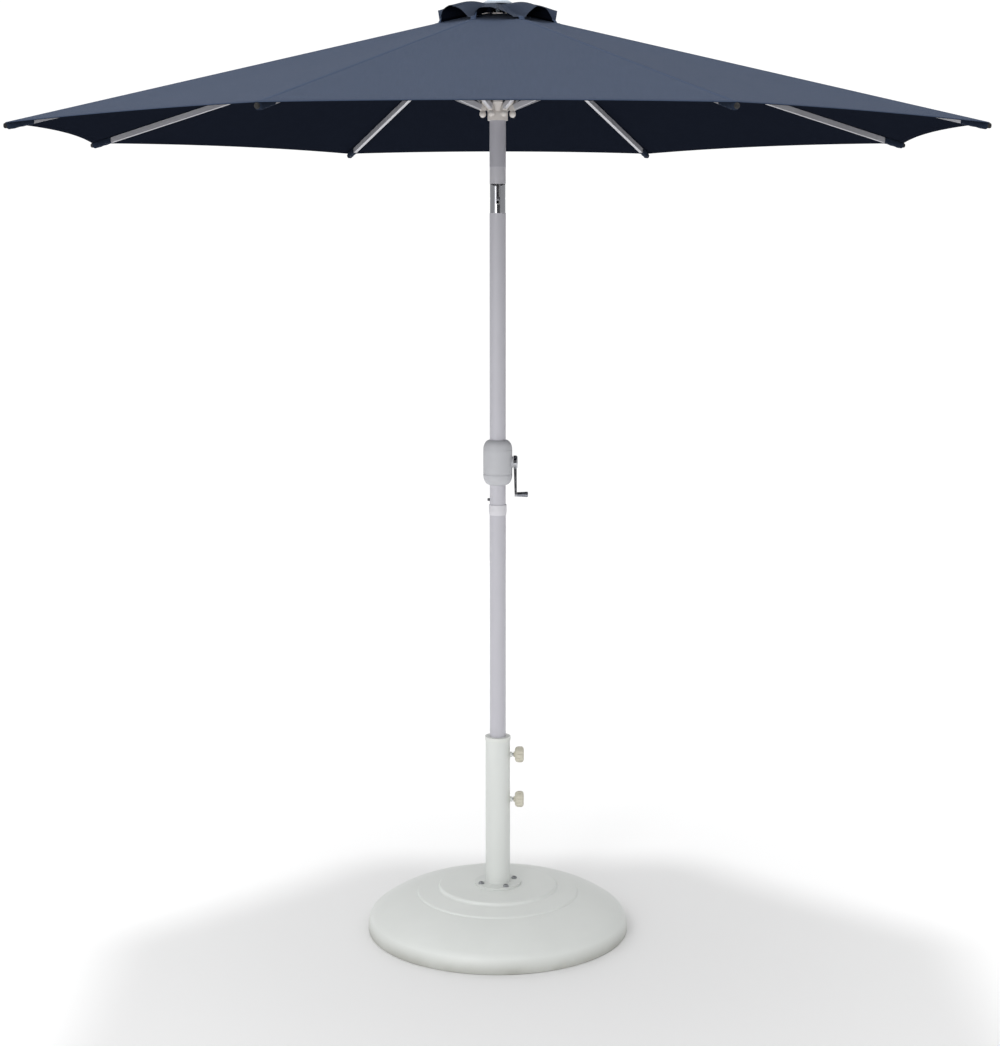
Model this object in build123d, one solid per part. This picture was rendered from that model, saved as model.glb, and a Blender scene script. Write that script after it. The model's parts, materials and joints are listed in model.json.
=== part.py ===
"""Market umbrella with a cranked lift, a tilting upper mast and a weighted round base.

Millimetres, +Z up. The origin is on the floor, on the axis of the mast.
The front of the object is on the -Y side and the crank is on the +X side.
The canopy is open and upright as modelled.
"""

import os
from math import asin, atan, atan2, cos, degrees, hypot, pi, radians, sin, sqrt, tan

from build123d import *

# ---- driving dimensions -------------------------------------------------------------------

RIBS = 8
RIB_STEP = 360 / RIBS
RIB_AZIMUTHS = [RIB_STEP * (number + 0.5) for number in range(RIBS)]
RUNNING = 0.05  # radial clearance of a pin that turns in a hole
FREE = 0.3  # gap between neighbours that slide or swivel past each other

# canopy: an octagonal pyramid of cloth, its top surface given along a rib
CANOPY_RADIUS = 1250.0
CANOPY_PEAK_Z = 2464.0
CANOPY_SLOPE = 0.251
CLOTH = 1.0
HEM_HOLLOW = 22.0  # how far the hem curves in, halfway between two ribs
CANOPY_HOLE_RADIUS = 70.0
SEAM_GAP = 0.5
VENT_RADIUS = 160.0
VENT_HEM_Z = 2428.5
VENT_TOP_Z = 2477.0
VENT_TOP_RADIUS = 30.0

# finial
FINIAL_DIAMETER = 74.0
FINIAL_TOP_Z = 2493.0
FINIAL_RIM = 4.0
FINIAL_STEM_DIAMETER = 10.0

# ribs and stretchers
RIB_PIVOT_RADIUS = 34.0
RIB_PIVOT_Z = 2443.5
RIB_WIDTH = 10.0
RIB_ABOVE_PIVOT = 9.5
RIB_BELOW_PIVOT = 4.5
RIB_WALL = 1.2
RIB_TIP_RADIUS = 1240.0
RIB_CLOSED_ANGLE = 86.0  # below level, when the canopy is closed
STRETCHER_WIDTH = 9.0
STRETCHER_HEIGHT = 14.0
CLEVIS_ALONG_RIB = 350.0
CLEVIS_BELOW_RIB = 17.5
RUNNER_PIVOT_RADIUS = 42.0
RUNNER_PIVOT_Z = 2216.0
PIVOT_PIN_DIAMETER = 4.0

# upper mast and tilt joint
UPPER_POLE_DIAMETER = 42.5
UPPER_POLE_WALL = 2.0
UPPER_POLE_BOTTOM_Z = 2066.0
UPPER_POLE_TOP_Z = 2440.0
CROWN_RADIUS = 46.0
CROWN_BOTTOM_Z = 2428.0
CROWN_TOP_Z = 2453.0
CROWN_SLOT_FLOOR_RADIUS = 24.0
CROWN_PIN_HALF = 9.0
PULLEY_RADIUS = 11.0
PULLEY_X = 12.5
PULLEY_Z = 2405.0
TILT_Z = 1985.0
TILT_PIN_DIAMETER = 8.0
KNUCKLE_DIAMETER = 40.4
KNUCKLE_BOTTOM_Z = 1947.0
BAND_BOTTOM_Z = 2022.0
BAND_DIAMETER = 41.9
TONGUE_THICKNESS = 8.0
TONGUE_RADIUS = 14.0
CORD_HOLE_DIAMETER = 5.0
CORD_HOLE_Y = 8.5

# runner
RUNNER_COLLAR_DIAMETER = 52.4
RUNNER_BOTTOM_Z = 2184.0
RUNNER_FLARE_Z = 2207.0
RUNNER_RIM_Z = 2228.0
RUNNER_TOP_Z = 2240.0
RUNNER_RIM_RADIUS = 48.0
RUNNER_SLOT_RADIUS = 27.0

# main mast
MAIN_POLE_DIAMETER = 42.5
MAIN_POLE_WALL = 1.8
POLE_JOINT_Z = 1158.0
LOWER_POLE_DIAMETER = 43.6
LOWER_POLE_WALL = 2.0
SPIGOT_WALL = 1.6
SPIGOT_TOP_Z = 1240.0
COLLAR_DIAMETER = 47.6
COLLAR_BOTTOM_Z = 1150.0
COLLAR_TOP_Z = 1178.0
BUTTON_Z = 1191.0
BUTTON_DIAMETER = 8.0
BUTTON_TIP = 6.5  # how far the button stands out of the pole
BUTTON_FLANGE_X = -15.2

# crank
CRANK_Z = 1292.0
HOUSING_DIAMETER = 77.4
HOUSING_BOTTOM_Z = 1231.0
HOUSING_TOP_Z = 1352.0
HOUSING_WALL = 3.0
HOUSING_SHOULDER = (18.0, 26.0)  # radial and upright size of its rounded ends
HOUSING_GROOVES_Z = (1260.0, 1326.0)
SHAFT_DIAMETER = 8.0
DRUM_DIAMETER = 16.0
DRUM_FLANGE_DIAMETER = 22.0
CRANK_HUB_DIAMETER = 36.0
CRANK_HUB_X = (42.0, 53.0)
CRANK_ARM_TOP_X = (42.5, 50.5)
CRANK_ARM_X = (45.0, 51.0)  # at its lower end
CRANK_ARM_LENGTH = 87.0
GRIP_DIAMETER = 15.0
GRIP_END_X = 81.0

# base
BASE_DIAMETER = 712.0
BASE_RIM_Z = 37.0
BASE_SHOULDER_RADIUS = 42.0
BASE_STEP_RADIUS = 5.0
BASE_RING_RADIUS = 222.0
BASE_RING_Z = 102.0
BASE_PLATEAU_RADIUS = 160.0
BASE_PLATEAU_Z = 124.0
BASE_SHELL_WALL = 5.0
BASE_SHELL_BOTTOM_Z = 1.5
FEET = 6
FOOT_DIAMETER = 44.0
FOOT_CIRCLE_RADIUS = 310.0
FOOT_HEIGHT = 8.0
SLAB_RADIUS = 348.0
SLAB_TOP_Z = 32.0
SLAB_INNER_TOP_Z = 46.0
SLAB_HUB_RADIUS = 66.0
FLANGE_DIAMETER = 127.0
FLANGE_THICKNESS = 6.0
FLANGE_BOLTS = 4
FLANGE_BOLT_CIRCLE_RADIUS = 50.0
FLANGE_BOLT_DIAMETER = 8.0
FLANGE_BOLT_AZIMUTH = 26.0
BASE_TUBE_DIAMETER = 67.0
BASE_TUBE_WALL = 3.0
BASE_TUBE_TOP_Z = 538.0
TUBE_COLLAR_DIAMETER = 70.0
TUBE_COLLAR_HEIGHT = 10.0
KNOB_HEIGHTS_Z = {"upper": 489.0, "lower": 363.0}
KNOB_DIAMETER = 44.0
KNOB_NECK_X = 43.0
KNOB_NECK_DIAMETER = 15.0
KNOB_X = (46.5, 71.0)
KNOB_ROUNDS = (10.0, 8.0)  # inner and outer edge
KNOB_LOBES = 8
STUD_DIAMETER = 8.0
STUD_END_X = 64.0
WELD_NUT_ACROSS_FLATS = 13.0
WELD_NUT_END_X = 40.0

# ---- sizes worked out from the driving dimensions ------------------------------------------

RIB_SLOPE_ANGLE = degrees(atan(CANOPY_SLOPE))
RIB_LENGTH = (RIB_TIP_RADIUS - RIB_PIVOT_RADIUS) / cos(radians(RIB_SLOPE_ANGLE))
HEM_DISTANCE = CANOPY_RADIUS * cos(pi / RIBS)  # from the axis to the middle of a straight hem
FLANGE_TOP_Z = BASE_PLATEAU_Z + FLANGE_THICKNESS
POLE_FOOT_Z = FLANGE_TOP_Z + FREE
SPIGOT_DIAMETER = MAIN_POLE_DIAMETER - 2 * MAIN_POLE_WALL


def swing(point, angle):
    """Turn a (radius, z) point about the rib pivot, outer end downwards, by degrees."""
    along, up = point[0] - RIB_PIVOT_RADIUS, point[1] - RIB_PIVOT_Z
    turn = radians(angle)
    return (RIB_PIVOT_RADIUS + along * cos(turn) + up * sin(turn),
            RIB_PIVOT_Z - along * sin(turn) + up * cos(turn))


CLEVIS = swing((RIB_PIVOT_RADIUS + CLEVIS_ALONG_RIB, RIB_PIVOT_Z - CLEVIS_BELOW_RIB), RIB_SLOPE_ANGLE)
STRETCHER_RUN = (CLEVIS[0] - RUNNER_PIVOT_RADIUS, CLEVIS[1] - RUNNER_PIVOT_Z)
STRETCHER_LENGTH = hypot(*STRETCHER_RUN)
STRETCHER_ANGLE = degrees(atan2(STRETCHER_RUN[1], STRETCHER_RUN[0]))


# ---- shapes used more than once ------------------------------------------------------------

def disc(diameter, bottom, top):
    """Upright solid cylinder on the mast axis."""
    return Pos(0, 0, (bottom + top) / 2) * Cylinder(diameter / 2, top - bottom)


def tube(diameter, bore, bottom, top):
    """Upright tube on the mast axis."""
    return disc(diameter, bottom, top) - disc(bore, bottom - 1, top + 1)


def rod_x(diameter, start, end, y=0.0, z=0.0):
    """Cylinder that lies along X."""
    return Pos((start + end) / 2, y, z) * Rot(0, 90, 0) * Cylinder(diameter / 2, end - start)


def rod_y(diameter, start, end, x=0.0, z=0.0):
    """Cylinder that lies along Y."""
    return Pos(x, (start + end) / 2, z) * Rot(90, 0, 0) * Cylinder(diameter / 2, end - start)


def block(x_range, y_range, z_range):
    """Box between two values on each axis."""
    ranges = (x_range, y_range, z_range)
    middle = [(low + high) / 2 for low, high in ranges]
    return Pos(*middle) * Box(*[high - low for low, high in ranges])


def turned(*outline):
    """Solid of revolution about Z from a closed outline of (radius, z) points."""
    return revolve(Plane.XZ * make_face(Polyline(*outline, close=True)), Axis.Z)


def octagon_frustum(bottom_radius, bottom_z, top_radius, top_z):
    """Eight-sided frustum with a corner on every rib azimuth."""
    sections = [
        Pos(0, 0, z) * Rot(0, 0, RIB_STEP / 2) * RegularPolygon(radius, RIBS)
        for radius, z in ((bottom_radius, bottom_z), (top_radius, top_z))
    ]
    return loft(sections, ruled=True)


def on_rib(shape, azimuth):
    """Place a shape drawn along +X from the rib pivot onto the rib at this azimuth."""
    pivot = Pos(RIB_PIVOT_RADIUS, 0, RIB_PIVOT_Z)
    return Rot(0, 0, azimuth) * pivot * Rot(0, RIB_SLOPE_ANGLE, 0) * shape


def on_stretcher(shape, azimuth):
    """Place a shape drawn along +X from the runner pivot onto the stretcher at this azimuth."""
    pivot = Pos(RUNNER_PIVOT_RADIUS, 0, RUNNER_PIVOT_Z)
    return Rot(0, 0, azimuth) * pivot * Rot(0, -STRETCHER_ANGLE, 0) * shape


def save(name, *solids):
    """Write one node, whose solids stay separate."""
    flat = [solid for shape in solids for solid in shape.solids()]
    shape = flat[0] if len(flat) == 1 else Compound(children=flat)
    shape.label = name
    export_step(shape, f"parts/{name}.step")


# ---- base ----------------------------------------------------------------------------------

def dome(inset, bottom):
    """Solid under the base's top surface, its faces moved inwards by the inset."""
    outer, rim = BASE_DIAMETER / 2 - inset, BASE_RIM_Z - inset * 0.7
    shoulder = (outer + BASE_RING_RADIUS) / 2, (rim + BASE_RING_Z - inset) / 2 + 11
    curve = ThreePointArc((outer, rim), shoulder, (BASE_RING_RADIUS, BASE_RING_Z - inset))
    plateau = BASE_PLATEAU_RADIUS - inset, BASE_PLATEAU_Z - inset
    foot = BASE_PLATEAU_RADIUS + 3 - inset, BASE_PLATEAU_Z - 8 - inset
    ring = BASE_RING_RADIUS - 3, BASE_RING_Z + 4 - inset
    outline = [
        Polyline((0, bottom), (outer, bottom), (outer, rim)),
        curve,
        Polyline((BASE_RING_RADIUS, BASE_RING_Z - inset), ring, foot, plateau, (0, plateau[1]), (0, bottom)),
    ]
    body = revolve(Plane.XZ * make_face(outline), Axis.Z)
    circles = body.edges().filter_by(GeomType.CIRCLE)
    body = fillet(circles.filter_by_position(Axis.Z, rim - 1, rim + 1), BASE_SHOULDER_RADIUS - inset)
    circles = body.edges().filter_by(GeomType.CIRCLE)
    steps = [circles.filter_by_position(Axis.Z, z - 0.1, z + 0.1) for radius, z in (ring, foot, plateau)]
    return fillet([edge for found in steps for edge in found], BASE_STEP_RADIUS)


def around(count, radius, first_azimuth=0.0):
    """Locations evenly spaced on a circle about the mast axis."""
    return [Rot(0, 0, first_azimuth + 360 * number / count) * Pos(radius, 0, 0) for number in range(count)]


FOOT_PLACES = around(FEET, FOOT_CIRCLE_RADIUS, RIB_STEP / 2)
BOLT_PLACES = around(FLANGE_BOLTS, FLANGE_BOLT_CIRCLE_RADIUS, FLANGE_BOLT_AZIMUTH)
BOLT_TIP_Z = SLAB_INNER_TOP_Z + 14


def base_shell():
    shell = dome(0, BASE_SHELL_BOTTOM_Z) - dome(BASE_SHELL_WALL, BASE_SHELL_BOTTOM_Z - 1)
    for place in BOLT_PLACES:
        shell -= place * disc(FLANGE_BOLT_DIAMETER, BASE_PLATEAU_Z - 20, BASE_PLATEAU_Z + 20)
    return shell


def base_weight():
    """Cast slab with a raised hub, under the shell."""
    hub_top = BASE_PLATEAU_Z - BASE_SHELL_WALL
    slab = turned(
        (0, FOOT_HEIGHT), (SLAB_RADIUS, FOOT_HEIGHT), (SLAB_RADIUS, SLAB_TOP_Z - 4),
        (SLAB_RADIUS - 20, SLAB_TOP_Z), (SLAB_HUB_RADIUS + 30, SLAB_INNER_TOP_Z),
        (SLAB_HUB_RADIUS, SLAB_INNER_TOP_Z + 12), (SLAB_HUB_RADIUS, hub_top), (0, hub_top),
    )
    for place in BOLT_PLACES:
        slab -= place * disc(FLANGE_BOLT_DIAMETER, BOLT_TIP_Z, hub_top + 1)
    return slab


def base_feet():
    return [place * disc(FOOT_DIAMETER, 0, FOOT_HEIGHT) for place in FOOT_PLACES]


def weld_nut(height):
    """Nut on the side of the base tube, seated on its round wall."""
    hexagon = RegularPolygon(WELD_NUT_ACROSS_FLATS / sqrt(3), 6)
    start = BASE_TUBE_DIAMETER / 2 - 3
    nut = Pos(start, 0, height) * Rot(0, 90, 0) * extrude(hexagon, WELD_NUT_END_X - start)
    return nut - disc(BASE_TUBE_DIAMETER, height - 20, height + 20)


def base_tube():
    """Steel tube welded to its round flange, with a nut for each clamp stud."""
    bore = BASE_TUBE_DIAMETER - 2 * BASE_TUBE_WALL
    weldment = disc(FLANGE_DIAMETER, BASE_PLATEAU_Z, FLANGE_TOP_Z)
    weldment += tube(BASE_TUBE_DIAMETER, bore, FLANGE_TOP_Z, BASE_TUBE_TOP_Z)
    for height in KNOB_HEIGHTS_Z.values():
        weldment += weld_nut(height)
        weldment -= rod_x(STUD_DIAMETER + 2 * RUNNING, 0, WELD_NUT_END_X + 1, z=height)
    for place in BOLT_PLACES:
        weldment -= place * disc(FLANGE_BOLT_DIAMETER, BASE_PLATEAU_Z - 1, FLANGE_TOP_Z + 1)
    return weldment


def flange_bolts():
    """Button-head bolts with washers that hold the flange to the slab."""
    shank = disc(FLANGE_BOLT_DIAMETER, BOLT_TIP_Z, FLANGE_TOP_Z)
    washer = disc(16.0, FLANGE_TOP_Z, FLANGE_TOP_Z + 1.5)
    head = disc(14.0, FLANGE_TOP_Z + 1.5, FLANGE_TOP_Z + 5.0)
    head = fillet(head.edges().filter_by(GeomType.CIRCLE).sort_by(Axis.Z)[-1], 2.5)
    head -= Pos(0, 0, FLANGE_TOP_Z + 3) * extrude(RegularPolygon(5.0 / sqrt(3), 6), 3)
    return [place * (shank + washer + head) for place in BOLT_PLACES]


def tube_collar():
    """Plastic cap on the base tube that guides the lower pole."""
    bore = BASE_TUBE_DIAMETER - 2 * BASE_TUBE_WALL
    pole_bore = LOWER_POLE_DIAMETER + 2 * FREE
    top = BASE_TUBE_TOP_Z + 3
    cap = tube(TUBE_COLLAR_DIAMETER, BASE_TUBE_DIAMETER, top - TUBE_COLLAR_HEIGHT, BASE_TUBE_TOP_Z)
    cap += tube(TUBE_COLLAR_DIAMETER, pole_bore, BASE_TUBE_TOP_Z, top)
    cap += tube(bore, bore - 6, BASE_TUBE_TOP_Z - 28, BASE_TUBE_TOP_Z)
    cap += tube(pole_bore + 5, pole_bore, BASE_TUBE_TOP_Z - 28, BASE_TUBE_TOP_Z)
    return cap


def tube_bush():
    """Plastic ring that centres the foot of the lower pole in the base tube."""
    bore = BASE_TUBE_DIAMETER - 2 * BASE_TUBE_WALL
    return tube(bore, LOWER_POLE_DIAMETER + 2 * FREE, FLANGE_TOP_Z, FLANGE_TOP_Z + 22)


def clamp_stud(height):
    """Threaded stud, drawn plain, whose end clamps the pole."""
    return rod_x(STUD_DIAMETER, LOWER_POLE_DIAMETER / 2 + FREE, STUD_END_X, z=height)


def clamp_knob(height):
    """Lobed hand knob with a neck towards the tube and a blind bore for the stud."""
    scallop_circle = KNOB_DIAMETER / 2 + 2.5
    start, end = KNOB_X
    grip = rod_x(KNOB_DIAMETER, start, end)
    for side, radius in enumerate(KNOB_ROUNDS):
        grip = fillet(grip.edges().filter_by(GeomType.CIRCLE).sort_by(Axis.X)[-side], radius)
    for number in range(KNOB_LOBES):
        turn = radians(360 * (number + 0.5) / KNOB_LOBES)
        grip -= rod_x(10, start - 1, end + 1, y=scallop_circle * cos(turn), z=scallop_circle * sin(turn))
    knob = grip + rod_x(KNOB_NECK_DIAMETER, KNOB_NECK_X, start)
    knob -= rod_x(STUD_DIAMETER + 2 * RUNNING, KNOB_NECK_X - 1, STUD_END_X + 0.5)
    return Pos(0, 0, height) * knob


# ---- mast ----------------------------------------------------------------------------------

def button_hole():
    """Cutter for the hole that the snap button stands in."""
    return rod_x(BUTTON_DIAMETER + 2 * FREE, -MAIN_POLE_DIAMETER, 0, z=BUTTON_Z)


def lower_pole():
    """Lower pole with its reduced upper end, which fits inside the main pole."""
    pole = tube(LOWER_POLE_DIAMETER, LOWER_POLE_DIAMETER - 2 * LOWER_POLE_WALL, POLE_FOOT_Z, POLE_JOINT_Z)
    neck = LOWER_POLE_DIAMETER - 2 * LOWER_POLE_WALL
    spigot_bore = SPIGOT_DIAMETER - 2 * SPIGOT_WALL
    pole += tube(neck, spigot_bore, POLE_JOINT_Z - 12, POLE_JOINT_Z)
    pole += tube(SPIGOT_DIAMETER, spigot_bore, POLE_JOINT_Z, SPIGOT_TOP_Z)
    return pole - button_hole()


def main_pole():
    pole = tube(MAIN_POLE_DIAMETER, SPIGOT_DIAMETER, POLE_JOINT_Z, KNUCKLE_BOTTOM_Z)
    pole -= rod_x(SHAFT_DIAMETER + 4, -MAIN_POLE_DIAMETER, MAIN_POLE_DIAMETER, z=CRANK_Z)
    return pole - button_hole()


def pole_collar():
    """Tapered ring that covers the joint between the two poles."""
    outer, taper = COLLAR_DIAMETER / 2, 10.0
    lower, main = LOWER_POLE_DIAMETER / 2, MAIN_POLE_DIAMETER / 2
    return turned(
        (lower, COLLAR_BOTTOM_Z), (lower + 0.8, COLLAR_BOTTOM_Z), (outer, COLLAR_BOTTOM_Z + taper),
        (outer, COLLAR_TOP_Z - 1), (outer - 1, COLLAR_TOP_Z), (main, COLLAR_TOP_Z),
        (main, POLE_JOINT_Z), (lower, POLE_JOINT_Z),
    )


def snap_button():
    """Round button with a flange that keeps it in the pole."""
    tip = -MAIN_POLE_DIAMETER / 2 - BUTTON_TIP
    stem = rod_x(BUTTON_DIAMETER, tip, BUTTON_FLANGE_X, z=BUTTON_Z)
    tip_edge = stem.edges().filter_by(GeomType.CIRCLE).sort_by(Axis.X)[0]
    return fillet(tip_edge, 2.5) + rod_x(11, BUTTON_FLANGE_X, BUTTON_FLANGE_X + 1.5, z=BUTTON_Z)


def button_spring():
    """Leaf spring bent to a U, one leg behind the button and one on the far wall."""
    thickness, width, depth = 0.8, 6.0, 26.0
    left = BUTTON_FLANGE_X + 1.5
    right = SPIGOT_DIAMETER / 2 - SPIGOT_WALL - 0.6
    middle, radius = (left + right) / 2, (right - left) / 2
    bend_z = BUTTON_Z - depth
    leaf = rod_y(2 * radius, -width / 2, width / 2, x=middle, z=bend_z)
    leaf += block((left, right), (-width / 2, width / 2), (bend_z, BUTTON_Z + 5))
    inner = radius - thickness
    leaf -= rod_y(2 * inner, -width, width, x=middle, z=bend_z)
    return leaf - block((middle - inner, middle + inner), (-width, width), (bend_z, BUTTON_Z + 6))


# ---- crank ---------------------------------------------------------------------------------

SCREW_X = 29.0
SCREW_HEIGHTS_Z = (HOUSING_BOTTOM_Z + 17, HOUSING_TOP_Z - 17)
SCREW_DIAMETER = 3.6
SCREW_HEAD_DIAMETER = 7.0
SCREW_HEAD_Y = 19.0
SCREW_PLACES = [(side * SCREW_X, height) for side in (-1, 1) for height in SCREW_HEIGHTS_Z]


def capsule(inset):
    """Rounded body of the crank housing, its faces moved inwards by the inset."""
    outer, wide, high = HOUSING_DIAMETER / 2 - inset, HOUSING_SHOULDER[0] - inset, HOUSING_SHOULDER[1] - inset
    bottom, top = HOUSING_BOTTOM_Z + inset, HOUSING_TOP_Z - inset
    inner = outer - wide
    outline = [
        Line((0, bottom), (inner, bottom)),
        EllipticalCenterArc((inner, bottom + high), wide, high, 270, arc_size=90),
        Line((outer, bottom + high), (outer, top - high)),
        EllipticalCenterArc((inner, top - high), wide, high, 0, arc_size=90),
        Polyline((inner, top), (0, top), (0, bottom)),
    ]
    return revolve(Plane.XZ * make_face(outline), Axis.Z)


def crank_housing():
    """Both halves of the housing, front first, split on the plane of the mast and crank axes."""
    outside = capsule(0)
    bosses = rod_x(20, -HOUSING_DIAMETER / 2 + 4, -26, z=CRANK_Z)
    for x, height in SCREW_PLACES:
        bosses += rod_y(10, -HOUSING_DIAMETER / 2, HOUSING_DIAMETER / 2, x=x, z=height)
    body = (outside - capsule(HOUSING_WALL)) + (bosses & outside)
    body += rod_x(30, 28, CRANK_HUB_X[0] - 0.4, z=CRANK_Z)
    body -= disc(MAIN_POLE_DIAMETER, HOUSING_BOTTOM_Z - 1, HOUSING_TOP_Z + 1)
    body -= rod_x(SHAFT_DIAMETER + 2 * RUNNING, -30.5, CRANK_HUB_X[0], z=CRANK_Z)
    for height in HOUSING_GROOVES_Z:
        body -= tube(HOUSING_DIAMETER + 4, HOUSING_DIAMETER - 2.4, height - 1, height + 1)
    for x, height in SCREW_PLACES:
        body -= rod_y(SCREW_DIAMETER, -12, SCREW_HEAD_Y, x=x, z=height)
        body -= rod_y(SCREW_HEAD_DIAMETER, SCREW_HEAD_Y, HOUSING_DIAMETER, x=x, z=height)
    size = 2 * HOUSING_DIAMETER
    front = body & block((-size, size), (-size, 0), (HOUSING_BOTTOM_Z - 5, HOUSING_TOP_Z + 5))
    rear = body & block((-size, size), (0, size), (HOUSING_BOTTOM_Z - 5, HOUSING_TOP_Z + 5))
    return front, rear


def housing_screws():
    screws = []
    for x, height in SCREW_PLACES:
        shank = rod_y(SCREW_DIAMETER, -12, SCREW_HEAD_Y, x=x, z=height)
        screws.append(shank + rod_y(SCREW_HEAD_DIAMETER, SCREW_HEAD_Y, SCREW_HEAD_Y + 2.5, x=x, z=height))
    return screws


def cord_spool():
    """Drum that winds the lift cord, inside the pole, on the crank's shaft."""
    half = 11.0
    spool = rod_x(SHAFT_DIAMETER, -30, CRANK_HUB_X[1] - 3, z=CRANK_Z)
    spool += rod_x(DRUM_DIAMETER, -half, half, z=CRANK_Z)
    for side in (-1, 1):
        start, end = sorted((side * half, side * (half - 1.5)))
        spool += rod_x(DRUM_FLANGE_DIAMETER, start, end, z=CRANK_Z)
    return spool


def crank_arm():
    """Hub, tapered arm and the pin that carries the grip, hanging straight down."""
    pin_z = CRANK_Z - CRANK_ARM_LENGTH
    hub = rod_x(CRANK_HUB_DIAMETER, *CRANK_HUB_X, z=CRANK_Z)
    hub = fillet(hub.edges().filter_by(GeomType.CIRCLE).sort_by(Axis.X)[-1], 5.0)
    corners = [(x, CRANK_Z - 10) for x in CRANK_ARM_TOP_X] + [(x, pin_z) for x in reversed(CRANK_ARM_X)]
    arm = extrude(Plane.XZ * make_face(Polyline(*corners, close=True)), 6, both=True)
    arm += rod_x(12, *CRANK_ARM_X, z=pin_z)
    pin = rod_x(6, CRANK_ARM_X[1], GRIP_END_X - 4, z=pin_z)
    return hub + arm + pin - rod_x(SHAFT_DIAMETER, CRANK_HUB_X[0] - 1, CRANK_HUB_X[1] - 3, z=CRANK_Z)


def crank_grip():
    """Tapered sleeve that turns on the arm's pin."""
    pin_z = CRANK_Z - CRANK_ARM_LENGTH
    start = CRANK_ARM_X[1] + FREE
    length = GRIP_END_X - start
    sleeve = Rot(0, 90, 0) * Cone(GRIP_DIAMETER / 2 - 1.5, GRIP_DIAMETER / 2, length)
    sleeve = fillet(sleeve.edges().filter_by(GeomType.CIRCLE).sort_by(Axis.X)[-1], 2.5)
    grip = Pos(start + length / 2, 0, pin_z) * sleeve
    return grip - rod_x(6 + 2 * RUNNING, start - 1, GRIP_END_X - 4 + FREE, z=pin_z)


# ---- tilt joint and upper mast -------------------------------------------------------------

EAR_RADIUS = BAND_BOTTOM_Z - TILT_Z - FREE
SLOT_HALF = TONGUE_THICKNESS / 2 + FREE
UPPER_BORE = UPPER_POLE_DIAMETER - 2 * UPPER_POLE_WALL


def tilt_lower_knuckle():
    """Plug in the main pole with two rounded ears that carry the tilt pin."""
    slot_floor = TILT_Z - TONGUE_RADIUS - 1
    knuckle = disc(KNUCKLE_DIAMETER, KNUCKLE_BOTTOM_Z, BAND_BOTTOM_Z)
    reach = KNUCKLE_DIAMETER
    arch = rod_x(2 * EAR_RADIUS, -reach, reach, z=TILT_Z)
    arch += block((-reach, reach), (-reach, reach), (KNUCKLE_BOTTOM_Z - 1, TILT_Z))
    knuckle &= arch
    knuckle += disc(SPIGOT_DIAMETER, KNUCKLE_BOTTOM_Z - 42, KNUCKLE_BOTTOM_Z)
    knuckle -= block((-SLOT_HALF, SLOT_HALF), (-reach, reach), (slot_floor, BAND_BOTTOM_Z + 1))
    knuckle -= rod_x(TILT_PIN_DIAMETER, -reach, reach, z=TILT_Z)
    return knuckle - Pos(0, CORD_HOLE_Y, 0) * disc(CORD_HOLE_DIAMETER, KNUCKLE_BOTTOM_Z - 43, TILT_Z)


def tilt_upper_knuckle():
    """Sleeve and plug of the upper pole, with the tongue that turns on the tilt pin."""
    half = TONGUE_THICKNESS / 2
    tongue = rod_x(2 * TONGUE_RADIUS, -half, half, z=TILT_Z)
    tongue += block((-half, half), (-TONGUE_RADIUS, TONGUE_RADIUS), (TILT_Z, BAND_BOTTOM_Z))
    knuckle = tongue + disc(BAND_DIAMETER, BAND_BOTTOM_Z, UPPER_POLE_BOTTOM_Z)
    knuckle += disc(UPPER_BORE, UPPER_POLE_BOTTOM_Z, UPPER_POLE_BOTTOM_Z + 36)
    knuckle -= rod_x(TILT_PIN_DIAMETER + 2 * RUNNING, -half - 1, half + 1, z=TILT_Z)
    cord_hole = disc(CORD_HOLE_DIAMETER, TILT_Z - 20, UPPER_POLE_BOTTOM_Z + 40)
    return knuckle - Pos(0, CORD_HOLE_Y, 0) * cord_hole


def tilt_pin():
    half = KNUCKLE_DIAMETER / 2 - 0.6
    return rod_x(TILT_PIN_DIAMETER, -half, half, z=TILT_Z)


def upper_pole():
    """Upper pole with a window for the pulley and holes for its axle."""
    pole = tube(UPPER_POLE_DIAMETER, UPPER_BORE, UPPER_POLE_BOTTOM_Z, UPPER_POLE_TOP_Z)
    window_z = (PULLEY_Z - PULLEY_RADIUS - 4, PULLEY_Z + PULLEY_RADIUS + 4)
    pole -= block((0, UPPER_POLE_DIAMETER), (-4.5, 4.5), window_z)
    return pole - rod_y(PIVOT_PIN_DIAMETER, -25, 25, x=PULLEY_X, z=PULLEY_Z)


def cord_pulley():
    """Grooved wheel that turns the lift cord down to the runner."""
    wheel = rod_y(2 * PULLEY_RADIUS, -3, 3, x=PULLEY_X, z=PULLEY_Z)
    groove = rod_y(2 * PULLEY_RADIUS + 4, -1.5, 1.5, x=PULLEY_X, z=PULLEY_Z)
    groove -= rod_y(2 * PULLEY_RADIUS - 5, -2, 2, x=PULLEY_X, z=PULLEY_Z)
    return wheel - groove - rod_y(PIVOT_PIN_DIAMETER + 2 * RUNNING, -4, 4, x=PULLEY_X, z=PULLEY_Z)


def pulley_axle():
    return rod_y(PIVOT_PIN_DIAMETER, -13.5, 13.5, x=PULLEY_X, z=PULLEY_Z)


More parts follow.
